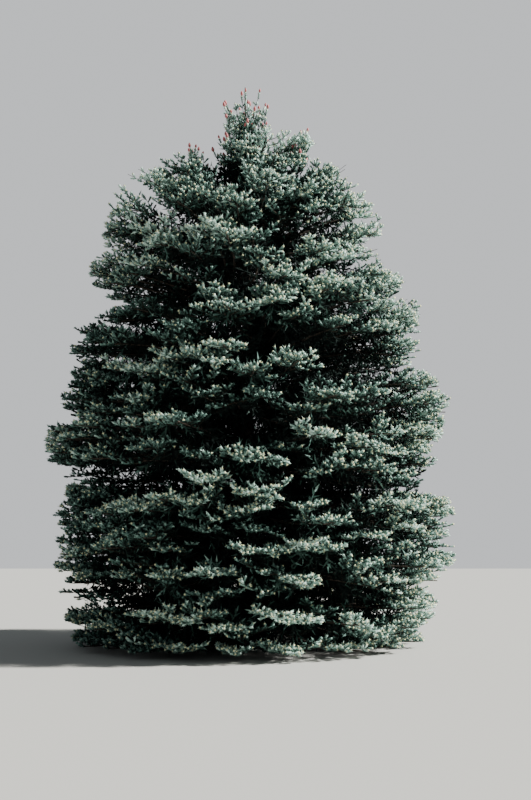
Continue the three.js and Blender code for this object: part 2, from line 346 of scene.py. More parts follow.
# Studio, and the camera as fitted to the photograph
FLOOR_SIZE = 80
SKY_STRENGTH = 0.27
BACKDROP_STRENGTH = 0.9
SUN_STRENGTH = 12.5
SUN_WIDTH = 4
SUN_FROM = (0.87, -0.03, 0.69)
SENSOR = 36
PICTURE_HEIGHT = 800
FOCAL_LENGTH_IN_PIXELS = 1065
CAMERA_PLACE = (0.22, -13, 1.2)
CAMERA_PITCH = 7.7

GOLDEN_ANGLE = math.radians(137.508)
NEARLY_UP = np.array([1e-4, 0.0, 1.0])
TINY = 1e-9

# Kinds of shoot: the first three have a brush each, and those of the tops share the first
FULL, THIN, FILL, TOP = 0, 1, 2, 3

rng = np.random.default_rng(TIERS_SEED)


def chance(seed):
    """The same number from 0 to 1 each time for the same seed, as in the solids."""
    wave = math.sin(seed * 12.9898 + 4.1414) * 43758.5453
    return wave - math.floor(wave)


def read_at(pairs, place):
    """Reads a list of pairs at a place or an array of them, in straight steps from pair to pair."""
    places, values = zip(*pairs)
    return np.interp(place, places, values)


def rising(pair, share):
    """The pair's first value, and the second times a share more."""
    return pair[0] + pair[1] * share


def crown_reach(height, azimuth):
    """The crown's reach at a height in a direction: right and left outlines, blended by the cosine."""
    rightness = (1 + np.cos(azimuth)) / 2
    left, right = read_at(LEFT_REACH, height), read_at(RIGHT_REACH, height)
    return left + (right - left) * rightness


def trunk_radius(height, angle):
    """A slow taper to the tip, and at the foot a flare that dies away upwards, with root lobes."""
    left = 1 - (height / TREE_HEIGHT) ** TRUNK_TAPER
    flare = FLARE_WIDTH * np.exp(-height / FLARE_HEIGHT)
    lobe = 1 + FLARE_LOBE * np.cos(FLARE_ROOTS * angle)
    return TRUNK_TIP_RADIUS + (TRUNK_RADIUS - TRUNK_TIP_RADIUS) * left + flare * lobe


def trunk_shift(height):
    """How far the trunk's middle is along X: the lean at the tip, by the square of the height."""
    return TRUNK_LEAN * (height / TREE_HEIGHT) ** 2


def tier_height(tier):
    """Height at which a tier leaves the trunk: even steps that shrink a little upwards."""
    return FIRST_TIER + TIER_STEP * tier - TIER_SHRINK * tier * tier


def tier_slope(tier):
    """How steeply a tier rises outwards: its angle grows by a power of the tier's place."""
    rise = LOWEST_RISE + RISE_GAIN * (max(tier, 0) / LAST_TIER) ** RISE_CURVE
    return math.tan(math.radians(rise))


def tier_surface(tier, distance):
    """Height of a tier at a distance from the trunk: a slope with a sag like a parabola's."""
    span = read_at(LEFT_REACH, tier_height(tier))
    sag = BOUGH_SAG * distance * (1 - distance / span)
    return tier_height(tier) + distance * tier_slope(tier) - sag


def tier_room(tier, distance):
    """Half the height between a tier and the next one up."""
    step = tier_surface(tier + 1, distance) - tier_surface(tier, distance)
    return np.minimum(step, TIER_STEP) / 2


def tier_reach(tier, azimuth, above=0.0):
    """How far out a tier meets the crown's outline, at a height above its surface.

    The crown's reach at the height found so far is averaged in, over and over.
    """
    reach = crown_reach(tier_height(tier), azimuth)
    for _ in range(REACH_HALVINGS):
        reach = (reach + crown_reach(tier_surface(tier, reach) + above, azimuth)) / 2
    return reach


def boughs_in_tier(tier):
    """Five boughs in the lower tiers, then four, then three."""
    if tier < TIERS_OF_FIVE:
        return 5
    return 4 if tier < TIERS_OF_FOUR else 3


def bough_azimuth(tier, index):
    """Direction of a limb: even turns round the trunk, a turn more for each tier, and a jitter."""
    count = boughs_in_tier(tier)
    jitter = TURN_JITTER * (2 * chance(tier * 10 + index % count) - 1)
    return math.radians(FIRST_TURN + TIER_TURN * tier + 360 / count * index + jitter)


def mass_plan(tier, index):
    """The space of one mass of foliage: its direction and half the gap to each neighbour."""
    azimuth = bough_azimuth(tier, index)
    return {
        "tier": tier,
        "azimuth": azimuth,
        "before": (azimuth - bough_azimuth(tier, index - 1)) / 2,
        "after": (bough_azimuth(tier, index + 1) - azimuth) / 2,
        "reach": float(tier_reach(tier, azimuth)),
        "foot": trunk_shift(tier_height(tier)),
    }


def place_in(plan, out, aside, above):
    """Points of a mass: shares of the reach outwards, of the half gap sideways and of the room up."""
    out, aside, above = np.broadcast_arrays(out, aside, above)
    azimuth = plan["azimuth"] + aside * np.where(aside > 0, plan["after"], plan["before"])
    tier = plan["tier"]
    lift = above * tier_room(tier, plan["reach"] * out)
    distance = tier_reach(tier, azimuth, lift) * out
    height = tier_surface(tier, distance) + above * tier_room(tier, distance)
    x = plan["foot"] + distance * np.cos(azimuth)
    return np.stack([x, distance * np.sin(azimuth), height], axis=-1)


def unit(vectors):
    """Each vector divided by its length."""
    return vectors / np.maximum(np.linalg.norm(vectors, axis=-1, keepdims=True), TINY)


def side_and_up(along):
    """For each direction, the level one across it and the one that completes the frame upwards."""
    side = unit(np.cross(along, NEARLY_UP))
    return side, np.cross(side, along)


def turned(side, up, cosine, sine):
    """Both directions turned in their own plane, by the angle of that cosine and sine."""
    return cosine * side + sine * up, cosine * up - sine * side


def along_line(line, at):
    """Points and directions at distances along a polyline."""
    steps = np.linalg.norm(np.diff(line, axis=0), axis=1)
    reached = np.concatenate([[0], np.cumsum(steps)])
    spots = np.stack([np.interp(at, reached, line[:, k]) for k in range(3)], axis=-1)
    slopes = np.gradient(line, axis=0)
    ways = np.stack([np.interp(at, reached, slopes[:, k]) for k in range(3)], axis=-1)
    return spots, unit(ways)


def line_length(line):
    """The sum of a polyline's steps."""
    return float(np.linalg.norm(np.diff(line, axis=0), axis=1).sum())


def eased(value):
    """A smooth step: value squared times (3 - 2 value), from 0 to 1."""
    value = np.clip(value, 0, 1)
    return value * value * (3 - 2 * value)


def inside_crown(points):
    """Each point's distance from the trunk, less a little slack, as a share of the crown's reach.

    A hollow takes its depth off the reach where it faces, less so by the squared cosine of the turn
    away from it and by a bell curve of the height away from it. Outside the crown the share is over 1.
    """
    height = points[:, 2]
    shift = trunk_shift(np.clip(height, 0, TREE_HEIGHT))
    azimuth = np.arctan2(points[:, 1], points[:, 0] - shift)
    distance = np.hypot(points[:, 0] - shift, points[:, 1])
    reach = crown_reach(height, azimuth)
    for turn, middle, depth, half in HOLLOWS:
        facing = np.clip(HOLLOW_SPREAD * np.cos(azimuth - math.radians(turn)), 0, 1) ** 2
        reach = reach - depth * facing * np.exp(-((height - middle) / half) ** 2)
    return np.maximum(distance - RIM_SLACK, 0) / reach


def shelter(points):
    """Metres from each point to the crown's surface: the lesser of the level way and the way up."""
    distance = np.hypot(points[:, 0], points[:, 1])
    share = inside_crown(points)
    level = distance * (1 / np.maximum(share, LEAST_SHARE) - 1)
    heights, reaches = np.array(LEFT_SLOPE).T
    ceiling = np.interp(-distance, -reaches, heights)
    return np.minimum(level, np.maximum(ceiling - points[:, 2], 0))


def bough_rows(plan, draw):
    """The hands of one mass: place aside and above, share of the reach, width and fullness of each.

    The hands of a mass stand in rows, every other row shifted by half a hand. A row's height is its
    shelf's, tilted by place aside and arched by its square, and each hand's strays a little from it.
    Hands at the outline's right and left edges have the full reach.
    """
    gap = plan["before"] + plan["after"]
    tilt = draw.uniform(-ROW_TILT, ROW_TILT)
    shared = draw.uniform(*MASS_REACH_RANGE)
    raised = draw.uniform(-MASS_SHIFT, MASS_SHIFT)
    arch = draw.uniform(*ROW_ARCH_RANGE)
    rows = []
    shelves = SHELVES + ([LOWEST_SHELF] if plan["tier"] == 0 else [])
    size = 1.0
    if plan["tier"] >= TOP_FROM:
        shelves, size = TOP_SHELVES, TOP_SIZE
    for number, (above, share, full) in enumerate(shelves):
        wish = size * (HAND_WIDTH if full == 1 else THIN_WIDTH)
        jitter = draw.uniform(-COUNT_JITTER, COUNT_JITTER)
        count = max(round(plan["reach"] * gap * share / wish + jitter), 1)
        shift = ROW_STAGGER * (number % 2 - 0.5) + draw.uniform(-STAGGER_JITTER, STAGGER_JITTER)
        for place in range(count):
            jitter = draw.uniform(-ASIDE_JITTER, ASIDE_JITTER)
            aside = 2 * (place + 0.5 + shift) / count - 1 + jitter / count
            height = above + raised + tilt * aside + arch * (ARCH_LEVEL - aside ** 2)
            height += draw.uniform(-HEIGHT_JITTER, HEIGHT_JITTER)
            reach = draw.choice(REACH_SHARES, p=REACH_ODDS)
            turn = plan["azimuth"] + aside * plan["after" if aside > 0 else "before"]
            if abs(math.sin(turn)) < EDGE_SINE:
                reach = 1.0
            shortfall = (1 - reach) / size ** 3
            reach = shared * share * (1 - shortfall)
            width = plan["reach"] * gap / count * draw.uniform(*HAND_WIDTH_RANGE)
            rows.append((aside, height, reach, width, full))
    return rows


def bough_line(plan, aside, above, share, hang, ceiling):
    """A bough's line: it leaves the mass's limb near the trunk, eases to its own place and hangs.

    Its end is stretched over and over by the wished share of the crown's reach over the share that
    it has, hollows counted. It hangs by the square of the way past the place where its droop starts.
    """
    out = np.linspace(LINE_START, 1, LINE_STEPS)
    fork = eased((out - FORK_START) / (FORK_END - FORK_START))
    end = share
    wish = share * (1 - RIM_MARGIN / plan["reach"])
    for _ in range(LINE_STRETCHES):
        line = place_in(plan, out * end, aside * fork, above * fork)
        end *= wish / inside_crown(line[-1:])[0]
    past = np.clip((out - DROOP_FROM) / (1 - DROOP_FROM), 0, 1)
    line[:, 2] -= END_DROOP * hang * float(read_at(TIER_DROOPS, plan["tier"])) * past ** 2
    line[:, 2] = np.clip(line[:, 2], LEAST_HEIGHT, ceiling - SHOOT_LENGTH)
    return line


def hand_branchlets(line, width, full, tier, ceiling, draw):
    """Branchlets of the hand at a bough's end: starts, ways out, the bough's way there and lengths.

    They stand in pairs, x of the way along the hand, level on a flat hand and turned all round the
    bough on a bushy one. The hand's half width widens in a straight line up to its shoulder, times
    (1 - x to the end's power) to its roundness. The last two are the bough's own end. A hand that
    loses most of its length where it is kept inside the crown isn't grown at all.
    """
    length = line_length(line)
    bushy = np.clip((tier - BUSHY_FROM) / BUSHY_TIERS, 0, 1)
    depth = min(rising(DEPTH_BY_WIDTH, width), DEEPEST_HAND)
    depth = depth * draw.uniform(*DEPTH_RANGE) * rising(DEPTH_BY_FULLNESS, full)
    depth = min(depth, DEPTH_OF_BOUGH * length)
    pairs = max(int(depth / (BRANCHLET_STEP / rising(BRANCHLETS_BY_FULLNESS, full))), LEAST_PAIRS)
    x = np.repeat((np.arange(pairs) + FIRST_PAIR) / pairs, 2)
    hand = np.tile([1.0, -1.0], pairs)
    jitter = draw.uniform(-PAIR_JITTER, PAIR_JITTER, x.size)
    x = np.clip(x + hand * PAIR_STAGGER / pairs + jitter / pairs, 0, LAST_PAIR)
    spots, ways = along_line(line, length - depth * (1 - x))
    side, up = side_and_up(ways)
    turn = draw.normal(0, HAND_ROLL + ROLL_GAIN * tier)
    side, up = turned(side, up, math.cos(turn), math.sin(turn))
    shoulder = rising(WIDTH_BY_SHOULDER, np.clip(x / SHOULDER, 0, 1))
    half = 0.5 * width * shoulder * (1 - x ** END_POWER) ** END_ROUNDNESS
    sizes = half * draw.uniform(*BRANCHLET_RANGE, x.size) + BRANCHLET_EXTRA
    jitter = draw.uniform(-ANGLE_JITTER, ANGLE_JITTER, x.size)
    angle = np.radians(BRANCHLET_ANGLE - ANGLE_FALL * x + jitter)
    roll = draw.normal(0, rising(ROLL_BY_BUSHINESS, bushy), x.size)
    across = (np.cos(roll) * hand)[:, None] * side + np.sin(roll)[:, None] * up
    outward = np.cos(angle)[:, None] * ways + np.sin(angle)[:, None] * across
    end_spot, end_way = along_line(line, np.array([length - END_BACK * depth, length - LAST_BACK]))
    spots = np.concatenate([spots, end_spot])
    outward = unit(np.concatenate([outward, end_way]))
    ahead = np.concatenate([ways, end_way])
    sizes = np.concatenate([sizes, [END_LENGTH * depth, LAST_LENGTH]])
    wished = sizes.sum()
    sizes = within_reach(spots, outward, sizes, ceiling)
    kept = (sizes > LEAST_BRANCHLET) & (sizes.sum() > LEAST_HAND * wished)
    return spots[kept], outward[kept], ahead[kept], sizes[kept]


def within_reach(spots, outward, sizes, ceiling):
    """Shortens the branchlets whose ends, with part of a shoot, would leave the crown, some to none."""
    for _ in range(CUT_TURNS):
        ends = spots + outward * (sizes[:, None] + TIP_ALLOWANCE * SHOOT_LENGTH)
        outside = (inside_crown(ends) > 1) | (ends[:, 2] < LEAST_HEIGHT) | (ends[:, 2] > ceiling)
        sizes = np.where(outside, CUT_SHARE * sizes, sizes)
    return np.where(outside, 0, sizes)


def grow_shoots(spots, outward, ahead, sizes, draw, full=1.0):
    """Shoots along branchlets: pairs that lean forwards at each node, some on top, and one at the end.

    A branchlet is a curve: start + way * t + bend * t squared / size. The bend turns it towards the
    bough's own way and upwards. Returns the shoots' starts, ways and lengths, and the bends.
    """
    step = SHOOT_STEP / rising(SHOOTS_BY_FULLNESS, full)
    t = (np.arange(1, MOST_NODES + 1) - NODE_BACK) * step
    which, node = np.nonzero(t[None, :] < sizes[:, None] - NODE_MARGIN)
    at = t[node] + draw.uniform(-NODE_JITTER, NODE_JITTER, len(node))
    bend = BEND_AHEAD * (ahead - outward) + np.array([0, 0, draw.uniform(*BEND_UP_RANGE)])
    bend_at = (at / sizes[which])[:, None]
    base = spots[which] + outward[which] * at[:, None] + bend[which] * bend_at * at[:, None]
    way = unit(outward[which] + 2 * bend[which] * bend_at)
    side, up = side_and_up(way)
    count = len(at)
    starts, ways, lengths = [], [], []
    for hand in (1.0, -1.0):
        angle = np.radians(draw.normal(*SIDE_ANGLE_NORMAL, count))
        lift = np.radians(draw.normal(*SIDE_LIFT_NORMAL, count))
        level = np.cos(angle)[:, None] * way + (hand * np.sin(angle))[:, None] * side
        starts.append(base + way * draw.uniform(-SIDE_JITTER, SIDE_JITTER, count)[:, None])
        ways.append(unit(np.cos(lift)[:, None] * level + np.sin(lift)[:, None] * up))
        lengths.append(SHOOT_LENGTH * draw.uniform(*SIDE_RANGE, count))
    upper = draw.uniform(size=count) < UPPER_ODDS * full
    lean = np.radians(draw.uniform(*UPPER_LEAN_RANGE, upper.sum()))
    sway = draw.normal(0, UPPER_SWAY, upper.sum())[:, None] * side[upper]
    starts.append(base[upper])
    ways.append(unit(np.cos(lean)[:, None] * way[upper] + np.sin(lean)[:, None] * up[upper] + sway))
    lengths.append(SHOOT_LENGTH * draw.uniform(*UPPER_RANGE, upper.sum()))
    end = spots + outward * sizes[:, None] + bend * sizes[:, None]
    end_way = unit(outward + 2 * bend)
    starts.append(end - END_OVERLAP * end_way)
    ways.append(end_way)
    lengths.append(SHOOT_LENGTH * draw.uniform(*END_RANGE, len(sizes)))
    return np.concatenate(starts), np.concatenate(ways), np.concatenate(lengths), bend


def inner_shoots(line, draw):
    """Older shoots all round a bough, from near the trunk out to under its hand."""
    length = line_length(line)
    begin = FILL_START * length
    reach = length - FILL_STOP * HAND_DEPTH
    count = int(reach * FILL_DENSITY)
    at = begin + (reach - begin) * (np.arange(count) + draw.uniform(0, 1, count)) / count
    spots, ways = along_line(line, at)
    side, up = side_and_up(ways)
    roll = draw.uniform(0, 2 * math.pi, count)
    angle = np.radians(draw.uniform(*FILL_ANGLE_RANGE, count))
    across = np.cos(roll)[:, None] * side + np.sin(roll)[:, None] * up
    way = unit(np.cos(angle)[:, None] * ways + np.sin(angle)[:, None] * across)
    size = np.interp(at, [0, length], FILL_LENGTHS) * draw.uniform(*FILL_RANGE, count)
    return spots, way, size


def mesh_piece(name, points, triangles, materials, slots=None, smooth=False):
    """A mesh object from arrays of points, triangles, material numbers and smooth flags."""
    mesh = bpy.data.meshes.new(name)
    mesh.vertices.add(len(points))
    mesh.vertices.foreach_set("co", np.ascontiguousarray(points, dtype=np.float32).ravel())
    mesh.loops.add(3 * len(triangles))
    mesh.loops.foreach_set("vertex_index", np.ascontiguousarray(triangles, dtype=np.int32).ravel())
    mesh.polygons.add(len(triangles))
    mesh.polygons.foreach_set("loop_start", np.arange(0, 3 * len(triangles), 3, dtype=np.int32))
    for material in materials:
        mesh.materials.append(material)
    if slots is not None:
        mesh.polygons.foreach_set("material_index", np.asarray(slots, dtype=np.int32))
    mesh.polygons.foreach_set("use_smooth", np.broadcast_to(smooth, len(triangles)).astype(bool))
    mesh.update(calc_edges=True)
    mesh.validate()
    piece = bpy.data.objects.new(name, mesh)
    bpy.context.scene.collection.objects.link(piece)
    return piece


def ring_faces(rings, sides):
    """Two triangles for each square between one ring of points and the next."""
    ring, place = np.meshgrid(np.arange(rings - 1), np.arange(sides), indexing="ij")
    here = ring * sides + place
    beside = ring * sides + (place + 1) % sides
    first = np.stack([here, here + sides, beside], axis=-1)
    second = np.stack([beside, here + sides, beside + sides], axis=-1)
    return np.concatenate([first.reshape(-1, 3), second.reshape(-1, 3)])


def cap_faces(ring, point):
    """A triangle from each edge of a ring to one point beyond it."""
    return np.stack([ring, np.full(len(ring), point), np.roll(ring, -1)], axis=-1)


def facing_back(faces):
    """The same triangles with their other side outwards."""
    return faces[:, [0, 2, 1]]


def tube(line, radii, sides):
    """A tube along a polyline, open at its foot: a ring of points at each step, and an end point."""
    ways = unit(np.gradient(line, axis=0))
    side, up = side_and_up(ways)
    angle = np.linspace(0, 2 * math.pi, sides, endpoint=False)
    ring = np.cos(angle)[None, :, None] * side[:, None] + np.sin(angle)[None, :, None] * up[:, None]
    points = line[:, None] + ring * radii[:, None, None]
    points = np.concatenate([points.reshape(-1, 3), line[-1:] + ways[-1:] * radii[-1]])
    last = (len(line) - 1) * sides + np.arange(sides)
    return points, np.concatenate([ring_faces(len(line), sides), cap_faces(last, len(points) - 1)])


def gather(parts):
    """Joins lists of points and triangles into one pair of arrays."""
    shift = np.cumsum([0] + [len(points) for points, _ in parts[:-1]])
    points = np.concatenate([points for points, _ in parts])
    return points, np.concatenate([t + s for (_, t), s in zip(parts, shift)])


def clad_stem(radius):
    """A slim three-sided shape along X, open at its foot, widest near its tip, up to a point at 1.

    Returns offsets from the line, shares of the length and triangles.
    """
    angle = np.linspace(0, 2 * math.pi, CLAD_SIDES, endpoint=False)
    circle = np.stack([np.zeros(CLAD_SIDES), np.cos(angle), np.sin(angle)], axis=-1)
    offset = np.concatenate([circle * (CLAD_FOOT * radius), circle * radius, np.zeros((1, 3))])
    share = np.repeat([0.0, CLAD_SHOULDER, 1.0], [CLAD_SIDES, CLAD_SIDES, 1])
    tip = cap_faces(CLAD_SIDES + np.arange(CLAD_SIDES), 2 * CLAD_SIDES)
    return offset, share, facing_back(np.concatenate([ring_faces(2, CLAD_SIDES), tip]))


def flat_stem(radius):
    """A flat kite along X, as offsets from the line, shares of the length and triangles."""
    offset = radius * np.array([[0, 0, 0], [0, 1, 0], [0, -1, 0], [0, 0, 0]])
    share = np.array([0, KITE_SHOULDER, KITE_SHOULDER, 1.0])
    return offset, share, np.array([[0, 1, 3], [0, 3, 2]])


def clad_shoot(needles, seed, length=NEEDLE_LENGTH, width=NEEDLE_WIDTH, radius=CLAD_RADIUS, old=False):
    """A shoot along X: its clad stem, and needles that stand out of it. An old one has a flat stem.

    Returns offsets at true width, shares of the length, triangles, how many steps of painted shade each
    triangle takes, more at the stem's foot and fewer towards the tip as painted highlight, with -2 for
    those of the stem's blunt end, and which triangles are smooth. Needle i starts at an even step along
    the stem, turned by the golden angle. It leans forwards, more so by the square of its place. It is
    one long triangle, turned about its own length by chance.
    """
    draw = np.random.default_rng(seed)
    if old:
        stem, stem_share, stem_faces = flat_stem(radius)
        stem_painted_shade = [0, 0]
    else:
        stem, stem_share, stem_faces = clad_stem(radius)
        # Painted shade on the stem's foot and painted highlight on its blunt end
        stem_painted_shade = [2, 2, 2, 0, 0, 0, -2, -2, -2]
    i = np.arange(needles)
    x = FIRST_NEEDLE + NEEDLE_SPAN * (i + 0.5) / needles
    turn = i * GOLDEN_ANGLE + draw.normal(0, NEEDLE_TURN_ROLL, needles)
    lean = np.radians(NEEDLE_LEAN - LEAN_FALL * x ** 2 + draw.normal(0, LEAN_SPREAD, needles))
    size = length * draw.uniform(*NEEDLE_RANGE, needles)
    radial = np.stack([np.zeros(needles), np.cos(turn), np.sin(turn)], axis=-1)
    around = np.stack([np.zeros(needles), -np.sin(turn), np.cos(turn)], axis=-1)
    ahead = np.array([1.0, 0, 0]) * np.cos(lean)[:, None] + radial * np.sin(lean)[:, None]
    roll = draw.uniform(-NEEDLE_ROLL, NEEDLE_ROLL, needles)[:, None]
    wide = (np.cos(roll) * around + np.sin(roll) * np.cross(ahead, around)) * width / 2
    root = radial * radius * NEEDLE_ROOT
    points = np.stack([root - wide, root + wide, root + ahead * size[:, None]], axis=1)
    offset = np.concatenate([stem, points.reshape(-1, 3)])
    share = np.concatenate([stem_share, np.repeat(x, 3)])
    needle_faces = len(stem) + np.arange(3 * needles).reshape(-1, 3)
    # Painted shade on needles near the shoot's foot, turning to painted highlight near its tip
    needle_painted_shade = NEEDLE_FOOT_PAINTED_SHADE - NEEDLE_TIP_PAINTED_LIGHT * x
    painted_shade_steps = np.round(np.concatenate([stem_painted_shade, needle_painted_shade])).astype(int)
    faces = np.concatenate([stem_faces, needle_faces])
    return offset, share, faces, painted_shade_steps, np.arange(len(faces)) < (0 if old else len(stem_faces))


BRUSHES = {
    FULL: clad_shoot(NEEDLES_FULL, 41),
    THIN: clad_shoot(NEEDLES_THIN, 42),
    FILL: clad_shoot(NEEDLES_OLD, 43, OLD_NEEDLE_LENGTH, OLD_NEEDLE_WIDTH, OLD_CLAD_RADIUS, old=True),
}


def shade(name, colour, roughness, gloss=0.3):
    """A plain opaque finish whose base colour is one value."""
    material = bpy.data.materials.new(name)
    material.use_nodes = True
    surface = material.node_tree.nodes["Principled BSDF"]
    surface.inputs["Base Color"].default_value = (*colour, 1)
    surface.inputs["Roughness"].default_value = roughness
    surface.inputs["Specular IOR Level"].default_value = gloss
    return material


def linear(red, green, blue):
    """A colour given as display values from 0 to 255, as linear light."""
    values = np.array([red, green, blue]) / 255
    return tuple(np.where(values <= 0.04045, values / 12.92, ((values + 0.055) / 1.055) ** 2.4))


# Needle colours, light to dark: silver young needles and duller green older ones are their own colours,
# but the steps that place and depth choose are painted light and shade, and the darkest, with little
# gloss, is mostly painted shade
NEEDLE_SHADES = [
    shade("needles_silver", linear(187, 214, 203), 0.5),
    shade("needles_blue_grey", linear(130, 161, 150), 0.55),
    shade("needles_steel_blue", linear(81, 113, 105), 0.6),
    shade("needles_deep_green", linear(42, 67, 60), 0.65, 0.2),
    shade("needles_painted_shade", linear(26, 35, 33), 0.8, 0.04),
    shade("needles_buff_tips", linear(214, 212, 170), 0.6),
]

# Places in the list of the darkest shade, mostly painted shade, and of the one for blunt ends
DARKEST_PAINTED_SHADE, BUFF = 4, 5

# Twigs in their own brown, dimmed as painted shade for lying in the foliage's shade
TWIG_BARK_PAINTED_SHADE = shade("twig_bark_painted_shade", linear(46, 42, 35), 0.85, 0.08)
CONE = shade("young_cones", linear(194, 112, 114), 0.55)


def bark_finish():
    """Grey-brown bark: two browns mixed by noise, and a relief of small scales, on object coordinates."""
    material = shade("bark", linear(78, 68, 60), 0.9)
    nodes, links = material.node_tree.nodes, material.node_tree.links
    surface = nodes["Principled BSDF"]
    where = nodes.new("ShaderNodeTexCoord")
    patches = nodes.new("ShaderNodeTexNoise")
    patches.inputs["Scale"].default_value = BARK_PATCHES
    patches.inputs["Detail"].default_value = 6
    browns = nodes.new("ShaderNodeValToRGB")
    dark, light = browns.color_ramp.elements
    dark.position = 0.35
    dark.color = (*linear(44, 38, 33), 1)
    light.position = 0.68
    light.color = (*linear(92, 82, 74), 1)
    scales = nodes.new("ShaderNodeTexVoronoi")
    scales.feature = "DISTANCE_TO_EDGE"
    scales.inputs["Scale"].default_value = BARK_SCALES
    relief = nodes.new("ShaderNodeBump")
    relief.inputs["Strength"].default_value = 0.7
    relief.inputs["Distance"].default_value = SCALE_DEPTH
    links.new(where.outputs["Object"], patches.inputs["Vector"])
    links.new(where.outputs["Object"], scales.inputs["Vector"])
    links.new(patches.outputs["Fac"], browns.inputs["Fac"])
    links.new(browns.outputs["Color"], surface.inputs["Base Color"])
    links.new(scales.outputs["Distance"], relief.inputs["Height"])
    links.new(relief.outputs["Normal"], surface.inputs["Normal"])
    return material


BARK = bark_finish()


def bough_tube(plan, line, full, draw):
    """A bough's tube: thinner outwards in a straight line, uneven, and thicker on a longer limb.

    The limb's radius is that of the longest one times the root of its share of that one's reach.
    """
    limb = BOUGH_RADIUS * math.sqrt(plan["reach"] / RIGHT_REACH[0][1])
    radii = limb * (1 - BOUGH_THINNING * np.linspace(0, 1, LINE_STEPS))
    radii = radii * rising(BOUGH_BY_FULLNESS, full)
    return tube(line, radii * draw.uniform(*BOUGH_UNEVEN_RANGE, LINE_STEPS), BOUGH_SIDES)


def twig_tubes(spots, outward, bend, sizes):
    """One thin tube for each branchlet, along its curve."""
    tubes = []
    for spot, way, turn, size in zip(spots, outward, bend, sizes):
        t = np.linspace(0, size, TWIG_RINGS)[:, None]
        line = spot + way * t + turn * t * t / size
        tubes.append(tube(line, np.linspace(*TWIG_RADII, TWIG_RINGS), TWIG_SIDES))
    return tubes


class Foliage:
    """Shoots, twigs and cones of one tier, gathered before they are made into meshes."""

    def __init__(self, ceiling, fill_depth=0.0):
        """Starts empty, with the height and the least depth of fill shoots that it keeps to."""
        self.starts, self.ways, self.lengths = [], [], []
        self.tones, self.kinds = [], []
        self.twigs = []
        self.cones = []
        self.ceiling = ceiling
        self.fill_depth = fill_depth

    def add(self, start, way, length, tone, kind):
        """Keeps the shoots whose tips lie in the crown, above the ground and under the ceiling.

        A shoot that leaves the crown is cut short first, and one of the tops may leave it. A fill
        shoot also has to lie deep enough, and a full one that lies deep takes the thin brush.
        """
        tips = start + way * length[:, None]
        if kind != TOP:
            length = np.where(inside_crown(tips) < 1, length, CUT_SHORT * length)
            tips = start + way * length[:, None]
        keep = np.minimum(tips[:, 2], start[:, 2]) > (FILL_FLOOR if kind == FILL else SHOOT_FLOOR)
        if kind != TOP:
            keep &= inside_crown(tips) < 1
        keep &= tips[:, 2] < self.ceiling
        if kind == FILL:
            keep &= np.minimum(shelter(tips), shelter(start)) > self.fill_depth
        self.starts.append(start[keep])
        self.ways.append(way[keep])
        self.lengths.append(length[keep])
        self.tones.append(np.full(keep.sum(), tone))
        deep = (kind == FULL) & (shelter(start[keep]) > DEEP)
        self.kinds.append(np.where(deep, THIN, FULL if kind == TOP else kind))

    def piece(self, name):
        """The tier's shoots as one mesh: each kind's brush, turned and stretched for each shoot.

        A triangle's shade is its shoot's tone and its brush's steps of painted shade and highlight, with
        more painted shade by the depth of the shoot's foot under the crown's surface and on thin and fill
        shoots, rounded to one of the plain shades.
        """
        start, way = np.concatenate(self.starts), np.concatenate(self.ways)
        size, tone = np.concatenate(self.lengths), np.concatenate(self.tones)
        kinds = np.concatenate(self.kinds)
        spin = rng.uniform(0, 2 * math.pi, len(way))[:, None]
        side, up = turned(*side_and_up(way), np.cos(spin), np.sin(spin))
        depth = shelter(start)
        points, triangles, slots, smooth = [], [], [], []
        made = 0
        for kind, (offset, share, faces, painted_shade_steps, rounded) in BRUSHES.items():
            chosen = kinds == kind
            count = int(chosen.sum())
            if not count:
                continue
            frames = np.stack([way[chosen], side[chosen], up[chosen]], axis=1)
            fat = rng.uniform(*FATNESS_RANGE, count)[:, None, None]
            placed = np.einsum("vk,nkj->nvj", offset, frames) * fat
            placed += share[None, :, None] * (way[chosen] * size[chosen][:, None])[:, None]
            placed += start[chosen][:, None]
            points.append(placed.reshape(-1, 3))
            numbers = faces[None] + (np.arange(count) * len(offset))[:, None, None] + made
            triangles.append(numbers.reshape(-1, 3))
            made += count * len(offset)
            # Painted shade by depth under the crown's surface, partly the duller colour of older inner
            # needles
            colour = tone[chosen] + (depth[chosen] - LIT_DEPTH) * DEPTH_PAINTED_SHADE_RATE
            colour += rng.normal(0, TONE_SPREAD, count)
            # Painted shade on the old fill shoots, partly also their duller colour
            colour += FILL_PAINTED_SHADE * (kind == FILL)
            # Painted shade on thin hands, growing with their depth
            if kind == THIN:
                colour += THIN_PAINTED_SHADE * np.clip(depth[chosen] / THIN_DEPTH, 0, 1)
            # The brush's painted shade at a shoot's foot and painted highlight towards its tip
            slot = np.clip(np.round(colour[:, None] + np.maximum(painted_shade_steps, LIGHTEST_STEP)), 0, DARKEST_PAINTED_SHADE)
            # Buff blunt ends, the buds' own colour, only on light shoots, so partly painted highlight
            buff = (rng.uniform(size=count) < BUFF_SHARE) & (colour < BUFF_LIT_LIMIT)
            slot[np.ix_(buff, painted_shade_steps < LIGHTEST_STEP)] = BUFF
            slots.append(slot.ravel())
            smooth.append(np.tile(rounded, count))
        return mesh_piece(
            name, np.concatenate(points), np.concatenate(triangles), NEEDLE_SHADES,
            np.concatenate(slots), np.concatenate(smooth),
        )


def top_stem(azimuth, distance, foot, tip):
    """The line of a leader's stem: it rises from its foot, and outwards by the root of the height."""
    angle = math.radians(azimuth)
    height = np.linspace(foot, tip, STEM_STEPS)
    spread = distance * (1 + STEM_SPREAD * np.linspace(0, 1, STEM_STEPS) ** 0.5)
    x = trunk_shift(height) + spread * math.cos(angle)
    return np.stack([x, spread * math.sin(angle), height], axis=-1)


